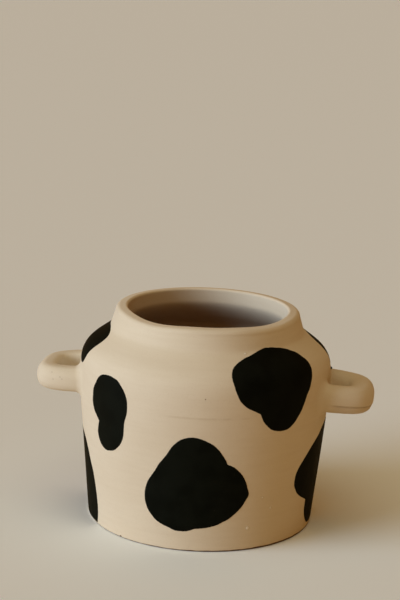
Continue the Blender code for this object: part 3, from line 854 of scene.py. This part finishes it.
def outline_of(lobes):
    """Smooth closed outline of a blotch, with sharp notches where its lobes meet."""
    curve = bpy.data.curves.new("outline", "CURVE")
    curve.dimensions = "2D"
    curve.fill_mode = "NONE"
    curve.resolution_u = OUTLINE_STEPS
    shares = [point for lobe in lobes for point in lobe]
    notches = [shares.index(lobe[0]) for lobe in lobes] if len(lobes) > 1 else []
    spline = curve.splines.new("BEZIER")
    spline.bezier_points.add(len(shares) - 1)
    spline.use_cyclic_u = True
    for index, point in enumerate(spline.bezier_points):
        point.co = (shares[index][0] * BELLY_RADIUS, shares[index][1] * POT_HEIGHT, 0)
        kind = "VECTOR" if index in notches else "AUTO"
        point.handle_left_type = kind
        point.handle_right_type = kind
    drawn = bpy.data.objects.new("outline", curve)
    mesh = drawn.to_mesh()
    points = np.array([v.co[:2] for v in mesh.vertices])
    drawn.to_mesh_clear()
    bpy.data.objects.remove(drawn)
    return points


def blotch_outline(name):
    """A blotch's outline laid on the wall, in flat places."""
    across, height = outline_of(SPOT_SHARES[name]).T
    angle = math.radians(SPOT_AZIMUTH_DEG[name] - 90) + np.arcsin(across / wall_radius(height))
    flat = np.column_stack([angle * BELLY_RADIUS, run_at(height)])
    run = np.concatenate([[0], np.cumsum(np.linalg.norm(np.diff(flat, axis=0), axis=1))])
    waves = max(3, round(run[-1] / EDGE_WOBBLE_PITCH))
    phase = run / run[-1] * math.tau
    wobble = (np.sin(waves * phase + 1) + np.sin(round(waves * SLOW_WOBBLE_SHARE) * phase)) / 2
    return flat + side_of(flat) * (FILM_SPREAD + wobble * EDGE_WOBBLE)[:, None]


def side_of(outline):
    """Unit vectors out of a closed flat outline."""
    along = unit(np.roll(outline, -1, axis=0) - np.roll(outline, 1, axis=0))
    out = np.column_stack([along[:, 1], -along[:, 0]])
    (x, y), (next_x, next_y) = outline.T, np.roll(outline, -1, axis=0).T
    return out if np.sum(x * next_y - next_x * y) > 0 else -out


def make_blotch(name, material):
    """A film of black paint on the wall: rounded edge, flat top, closed underneath."""
    outline = blotch_outline(name)
    inner = outline - side_of(outline) * FILM_ROUNDING
    shoulder = inner + (outline - inner) * FILM_SHOULDER_SHARE
    low, high = outline.min(0), outline.max(0)
    grid = np.array([(x, y) for x in np.arange(low[0], high[0], BLOTCH_SPACING)
                     for y in np.arange(low[1], high[1], BLOTCH_SPACING)])
    keep = inside_outline(grid, inner) & (distance_to(grid, inner) > BLOTCH_SPACING / 2)
    points = list(inner) + list(grid[keep])
    flat, faces = triangulated(points, [list(range(len(inner)))])
    faces = faces[inside_outline(flat[faces].mean(axis=1), inner)]
    skin = Skin()
    skin.add(on_wall(flat, FILM), faces)
    skin.add_grid([on_wall(inner, FILM), on_wall(shoulder, FILM_SHOULDER),
                   on_wall(outline, FILM_EDGE), on_wall(outline, -FILM_SUNK),
                   on_wall(inner, -FILM_SUNK)], closed=True)
    skin.add(on_wall(flat, -FILM_SUNK), faces[:, ::-1])
    blotch = skin.build("paint_" + name, [material])
    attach(blotch, "root")
    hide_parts("spot_" + name)


def make_shade_dot(material):
    """A small black dome on the wall over the right handle, painted shade for the dark crease there.
    """
    centre = flattened(np.array([wall_place(*SHADE_DOT)]))
    angles = np.arange(SHADE_DOT_POINTS) * math.tau / SHADE_DOT_POINTS
    circle = np.column_stack([np.cos(angles), np.sin(angles)]) * SHADE_DOT_RADIUS
    rises = np.linspace(-math.pi / 2, math.pi / 2, SHADE_DOT_RINGS)
    skin = Skin()
    skin.add_grid([on_wall(centre + circle * math.cos(rise), SHADE_DOT_RADIUS * math.sin(rise))
                   for rise in rises], closed=True)
    shade_dot = skin.build("painted_shade_dot", [material])
    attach(shade_dot, "root")


class Finish:
    """A material's nodes, with short calls for what the finishes share. Lengths are in metres."""

    def __init__(self, name):
        self.material = bpy.data.materials.new(name)
        self.material.use_nodes = True
        self.tree = self.material.node_tree
        self.shader = self.tree.nodes["Principled BSDF"]
        self.place = self.node("ShaderNodeTexCoord").outputs["Object"]

    def feed(self, socket, value):
        if isinstance(value, bpy.types.NodeSocket):
            self.tree.links.new(value, socket)
        else:
            socket.default_value = value

    def node(self, kind, fed=(), **settings):
        """A new node, with its settings and what is fed to its sockets."""
        made = self.tree.nodes.new(kind)
        for setting, value in settings.items():
            setattr(made, setting, value)
        for socket, value in fed:
            self.feed(made.inputs[socket], value)
        return made

    def constant(self, **values):
        for name, value in values.items():
            self.shader.inputs[name.replace("_", " ")].default_value = value

    def math(self, operation, a, b=0.0):
        return self.node("ShaderNodeMath", ((0, a), (1, b)), operation=operation).outputs[0]

    def vector_math(self, operation, a, b=(0, 0, 0)):
        return self.node("ShaderNodeVectorMath", ((0, a), (1, b)), operation=operation).outputs

    def between(self, value, low, high, start=0.0, end=1.0):
        """Smooth step from start to end while a value goes from low to high."""
        fed = (("Value", value), ("From Min", low), ("From Max", high), ("To Min", start),
               ("To Max", end))
        made = self.node("ShaderNodeMapRange", fed, interpolation_type="SMOOTHSTEP")
        return made.outputs["Result"]

    def mix(self, share, first, second):
        """Colour that goes from the first to the second as the share goes from 0 to 1."""
        pair = [colour if isinstance(colour, bpy.types.NodeSocket) else (*colour, 1)
                for colour in (first, second)]
        fed = (("Factor", share), (6, pair[0]), (7, pair[1]))
        return self.node("ShaderNodeMix", fed, data_type="RGBA").outputs[2]

    def noise(self, size, detail=2.0, place=None):
        """Noise from 0 to 1 whose blots are about a size across."""
        fed = (("Vector", place or self.place), ("Scale", 1 / size), ("Detail", detail))
        return self.node("ShaderNodeTexNoise", fed).outputs["Fac"]

    def strokes(self, length, width, detail):
        """Noise whose blots are drawn out level, about a length across and a width high."""
        fed = (("Vector", self.place), ("Scale", (1 / length, 1 / length, 1 / width)))
        return self.noise(1.0, detail, self.node("ShaderNodeMapping", fed).outputs["Vector"])

    def wavered(self, value, noise, reach, low=0.0, high=1.0):
        """A value moved by up to a reach either way, while the noise goes from low to high."""
        return self.math("ADD", value, self.between(noise, low, high, -reach, reach))

    def dots(self, size, pitch, rare):
        """Round dots up to a size across, in some of the cells that are a pitch apart."""
        fed = (("Vector", self.place), ("Scale", 1 / pitch))
        cells = self.node("ShaderNodeTexVoronoi", fed, feature="F1").outputs
        chosen = self.node("ShaderNodeSeparateColor", ((0, cells["Color"]),)).outputs[0]
        near = self.between(cells["Distance"], size / pitch / 4, size / pitch / 2, 1, 0)
        return self.math("MULTIPLY", near, self.math("GREATER_THAN", chosen, rare))

    def dot_at(self, centre, size):
        """One round dot at a place, half faded at about a size across."""
        gap = self.vector_math("DISTANCE", self.place, centre)["Value"]
        return self.between(gap, size * 0.3, size * 0.6, 1, 0)

    def with_dots(self, dots, centres, size):
        """The same dots and one more at each centre."""
        for centre in centres:
            dots = self.math("MAXIMUM", dots, self.dot_at(centre, size))
        return dots

    def along(self, direction):
        """How far the place lies along a direction."""
        return self.vector_math("DOT_PRODUCT", self.place, direction)["Value"]

    def from_axis(self):
        """How far the place lies from the Z axis."""
        level = self.vector_math("MULTIPLY", self.place, (1, 1, 0))["Vector"]
        return self.vector_math("LENGTH", level)["Value"]

    def raise_by(self, *layers):
        """Bumps, each a height from 0 to 1 and how many metres 1 stands for."""
        below = ()
        for height, distance in layers:
            fed = (("Strength", 1.0), ("Distance", distance), ("Height", height), *below)
            normal = self.node("ShaderNodeBump", fed).outputs["Normal"]
            below = (("Normal", normal),)
        self.feed(self.shader.inputs["Normal"], normal)

    def dress(self, colour, patches, roughness, shine):
        """Colour, roughness from smooth patches to rough ones, and shine."""
        self.feed(self.shader.inputs["Base Color"], colour)
        self.feed(self.shader.inputs["Roughness"], self.between(patches, 0.3, 0.7, *roughness))
        self.constant(Specular_IOR_Level=shine)


def cream_colour(finish):
    """Cream paint, a little uneven where the brush laid it thicker or thinner."""
    cloud = finish.noise(CLOUD, 3)
    strokes = finish.strokes(STROKE_LENGTH, STROKE_WIDTH, 4)
    colour = finish.mix(finish.between(cloud, 0.35, 0.7), CREAM, CREAM_WARM)
    colour = finish.mix(finish.between(strokes, 0.35, 0.8, 0, 0.3), colour, CREAM_THIN)
    return finish.mix(finish.between(finish.noise(SPECKLE), 0.5, 0.75, 0, 0.35), colour, CREAM_THIN)


def clay_colour(finish):
    """Brown clay with level bands and dark grog."""
    bands = finish.strokes(TURNING_LENGTH, TURNING_WIDTH, 3)
    colour = finish.mix(finish.between(bands, 0.3, 0.7), CLAY, CLAY_PALE)
    return finish.mix(finish.between(finish.noise(GROG, 3), 0.55, 0.7, 0, 0.6), colour, CLAY_DARK)


def paint_grain(finish):
    """Bumps of a matte paint: brush marks, a soft orange peel and a fine grain."""
    return [(finish.strokes(BRISTLE_LENGTH, BRISTLE_WIDTH, 3), BRISTLE_RELIEF),
            (finish.noise(PEEL), PEEL_RELIEF),
            (finish.noise(GRAIN, 3), GRAIN_RELIEF)]


def seam_line(finish):
    """The seam across the front, wavering and broken, as relief and painted shade, from 0 to 1."""
    level = finish.wavered(finish.along((0, 0, 1)), finish.noise(SEAM_WAVER_PITCH), SEAM_WAVER)
    gap = finish.math("ABSOLUTE", finish.math("SUBTRACT", level, SEAM_HEIGHT))
    seam_and_shade = finish.math("MULTIPLY", finish.between(gap, *SEAM_FADE, 1, 0),
                       finish.dot_at(wall_place(*SEAM_SHOWN), SEAM_LENGTH))
    return finish.math("MULTIPLY", seam_and_shade, finish.between(finish.noise(SEAM_BREAKS), 0.25, 0.55))


def mould_line(finish):
    """Groove of the right handle's mould and the band below it, as painted shade, each from 0 to 1.
    """
    place = handle_place(RIGHT_HANDLE)
    upwards = place.col[2].to_3d()
    middle = upwards.dot(place.translation)
    over = finish.math("SUBTRACT", finish.along(upwards), middle - MOULD_BELOW_MIDDLE)
    shown = finish.between(finish.along((1, 0, 0)), *MOULD_SHOWN)
    groove_and_shade = finish.between(finish.math("ABSOLUTE", over), *GROOVE_FADE, 1, 0)
    below = finish.between(over, *MOULD_SHADE_FADE, 1, 0)
    return [finish.math("MULTIPLY", layer, shown) for layer in (groove_and_shade, below)]


def bared_foot_and_shade(finish):
    """Clay bared along the foot's edge and at the chip, partly painted contact shadow, from 0 to 1.
    """
    waver = finish.noise(BARED_WAVER_PITCH, 3)
    worn_and_shaded = finish.wavered(finish.along((BARED_SHADE_SLOPE, 0, 1)), waver, BARED_WAVER)
    edge = finish.between(worn_and_shaded, *BARED_FADE, 1, 0)
    return finish.with_dots(edge, [wall_place(*CHIP)], CHIP_SIZE)


def make_outside():
    """Cream paint on the outside, with the marks of its making and wear, and painted shade on some of
    them.
    """
    finish = Finish("cream_paint")
    seam_and_shade = seam_line(finish)
    groove_and_shade, below = mould_line(finish)
    bared_and_shade = bared_foot_and_shade(finish)
    pinholes = finish.dots(PINHOLE_FINE, PINHOLE_PITCH, PINHOLE_RARE)
    pinholes = finish.with_dots(pinholes, [wall_place(*place) for place in PINHOLES], PINHOLE)
    pinholes = finish.with_dots(pinholes, HANDLE_PITS, HANDLE_PIT)
    specks = finish.dots(SPECK_FINE, SPECK_PITCH, SPECK_RARE)
    for azimuth_deg, up, size in SPECKS:
        specks = finish.with_dots(specks, [wall_place(azimuth_deg, up)], size)
    colour = cream_colour(finish)
    # Painted shade: the band below the mould's line, its groove, the seam, and the dark foot band
    for layer, shade, laid in ((below, MOULD_SHADE, CREAM_SHADED), (groove_and_shade, GROOVE_SHADE, CREAM_SHADED),
                               (seam_and_shade, SEAM_SHADE, CREAM_SHADED), (specks, 1, CREAM_SPECK),
                               (pinholes, PINHOLE_SHADE, CLAY_DARK), (bared_and_shade, 1, CLAY_FOOT_SHADED)):
        colour = finish.mix(finish.math("MULTIPLY", layer, shade), colour, laid)
    finish.dress(colour, finish.noise(CREAM_PATCH, 3), CREAM_ROUGHNESS, CREAM_SHINE)
    finish.raise_by(*paint_grain(finish), (seam_and_shade, SEAM_RELIEF), (specks, SPECK_RELIEF),
                    (pinholes, PINHOLE_RELIEF), (bared_and_shade, BARED_RELIEF), (groove_and_shade, GROOVE_RELIEF))
    return finish.material


def make_inside():
    """Cream paint over the lip, brushed out unevenly down to bare clay."""
    finish = Finish("inner_paint")
    waver = finish.noise(PAINT_INSIDE_WAVER, 3)
    level = finish.wavered(finish.along((0, 0, 1)), waver, PAINT_INSIDE_BLUR, 0.2, 0.8)
    painted = finish.between(level, PAINT_INSIDE - PAINT_INSIDE_BLUR,
                             PAINT_INSIDE + PAINT_INSIDE_BLUR)
    colour = finish.mix(painted, clay_colour(finish), cream_colour(finish))
    finish.dress(colour, finish.noise(INSIDE_PATCH, 3), INSIDE_ROUGHNESS, INSIDE_SHINE)
    finish.raise_by(*paint_grain(finish), (painted, PAINT_RELIEF))
    return finish.material


def make_clay():
    """Bare clay of the foot, with cream paint smeared over the ring's outer edge."""
    finish = Finish("bare_clay")
    edge = finish.wavered(finish.from_axis(), finish.noise(SMEAR_PITCH, 4), SMEAR_WAVER, 0.2, 0.8)
    smeared = finish.between(edge, *SMEAR_FADE, 0, 0.8)
    colour = finish.mix(smeared, clay_colour(finish), CREAM_THIN)
    finish.dress(colour, finish.noise(CLAY_PATCH, 3), CLAY_ROUGHNESS, CLAY_SHINE)
    finish.raise_by((finish.noise(CLAY_LUMP, 4), CLAY_LUMP_RELIEF),
                    (finish.noise(CLAY_GRAIN, 3), CLAY_GRAIN_RELIEF))
    return finish.material


def make_black():
    """Matte black paint with faint strokes, dust and a second coat's patchiness."""
    finish = Finish("black_film")
    patches = finish.noise(BLACK_PATCH, 3)
    dust = finish.dots(DUST_SIZE, DUST_PITCH, DUST_RARE)
    colour = finish.mix(finish.between(patches, 0.35, 0.65), BLACK, BLACK_THIN)
    colour = finish.mix(finish.math("MULTIPLY", dust, DUST_SHADE), colour, DUST)
    finish.dress(colour, patches, BLACK_ROUGHNESS, BLACK_SHINE)
    finish.raise_by(*paint_grain(finish), (dust, DUST_RELIEF))
    return finish.material


def make_floor():
    """Plain pale floor, wide enough to fill the picture. Its bounce on the pot is warmer."""
    finish = Finish("floor_pale")
    seen = finish.node("ShaderNodeLightPath").outputs["Is Camera Ray"]
    finish.feed(finish.shader.inputs["Base Color"], finish.mix(seen, FLOOR_COLOUR, FLOOR_SEEN))
    finish.constant(Roughness=0.9, Specular_IOR_Level=0.2)
    mesh = bpy.data.meshes.new("studio_floor")
    half = FLOOR_SIZE / 2
    corners = [(-half, -half, 0), (half, -half, 0), (half, half, 0), (-half, half, 0)]
    mesh.from_pydata(corners, [], [(0, 1, 2, 3)])
    mesh.materials.append(finish.material)
    made = bpy.data.objects.new("studio_floor", mesh)
    bpy.context.scene.collection.objects.link(made)


def make_world():
    """Weak soft light from all round, and a plain backdrop above the floor's far edge."""
    world = bpy.data.worlds.new("studio")
    world.use_nodes = True
    bpy.context.scene.world = world
    nodes, links = world.node_tree.nodes, world.node_tree.links
    light = nodes["Background"]
    light.inputs["Color"].default_value = (*AMBIENT_COLOUR, 1)
    light.inputs["Strength"].default_value = AMBIENT
    backdrop = nodes.new("ShaderNodeBackground")
    backdrop.inputs["Color"].default_value = (*BACKDROP_COLOUR, 1)
    seen = nodes.new("ShaderNodeLightPath").outputs["Is Camera Ray"]
    mixed = nodes.new("ShaderNodeMixShader")
    links.new(seen, mixed.inputs["Fac"])
    links.new(light.outputs[0], mixed.inputs[1])
    links.new(backdrop.outputs[0], mixed.inputs[2])
    links.new(mixed.outputs[0], nodes["World Output"].inputs["Surface"])


def make_sun(name, direction_deg, strength, spread_deg, colour):
    """A wide soft light from an azimuth round the pot and an elevation."""
    azimuth_deg, elevation_deg = direction_deg
    lamp = bpy.data.lights.new(name, "SUN")
    lamp.energy = strength
    lamp.angle = math.radians(spread_deg)
    lamp.color = colour
    made = bpy.data.objects.new(name, lamp)
    made.rotation_euler = (math.radians(90 - elevation_deg), 0, math.radians(azimuth_deg))
    bpy.context.scene.collection.objects.link(made)


def make_camera():
    """The photograph's camera, worked out from the rim's, the foot's and the handles' outlines."""
    data = bpy.data.cameras.new("photo_camera")
    data.sensor_width = SENSOR
    data.lens = FOCAL_PIXELS / PHOTO_HEIGHT_PIXELS * SENSOR
    made = bpy.data.objects.new("photo_camera", data)
    around = Matrix.Rotation(math.radians(CAMERA_AZIMUTH_DEG), 4, "Z")
    stand = Matrix.Translation((0, -CAMERA_DISTANCE, CAMERA_HEIGHT))
    turn = (Matrix.Rotation(math.radians(-CAMERA_YAW_DEG), 4, "Z")
            @ Matrix.Rotation(math.radians(90 - CAMERA_PITCH_DEG), 4, "X")
            @ Matrix.Rotation(math.radians(CAMERA_ROLL_DEG), 4, "Z"))
    made.matrix_world = around @ stand @ turn
    bpy.context.scene.collection.objects.link(made)
    bpy.context.scene.camera = made


make_casting(make_outside(), make_inside(), make_clay())
black = make_black()
for spot_name in SPOT_AZIMUTH_DEG:
    make_blotch(spot_name, black)
make_shade_dot(black)
make_floor()
make_world()
make_sun("window", WINDOW_DEG, WINDOW_LIGHT, WINDOW_SPREAD_DEG, WINDOW_COLOUR)
make_sun("ceiling", CEILING_DEG, CEILING_LIGHT, CEILING_SPREAD_DEG, CEILING_COLOUR)
make_camera()
bpy.context.scene.view_settings.view_transform = "Standard"
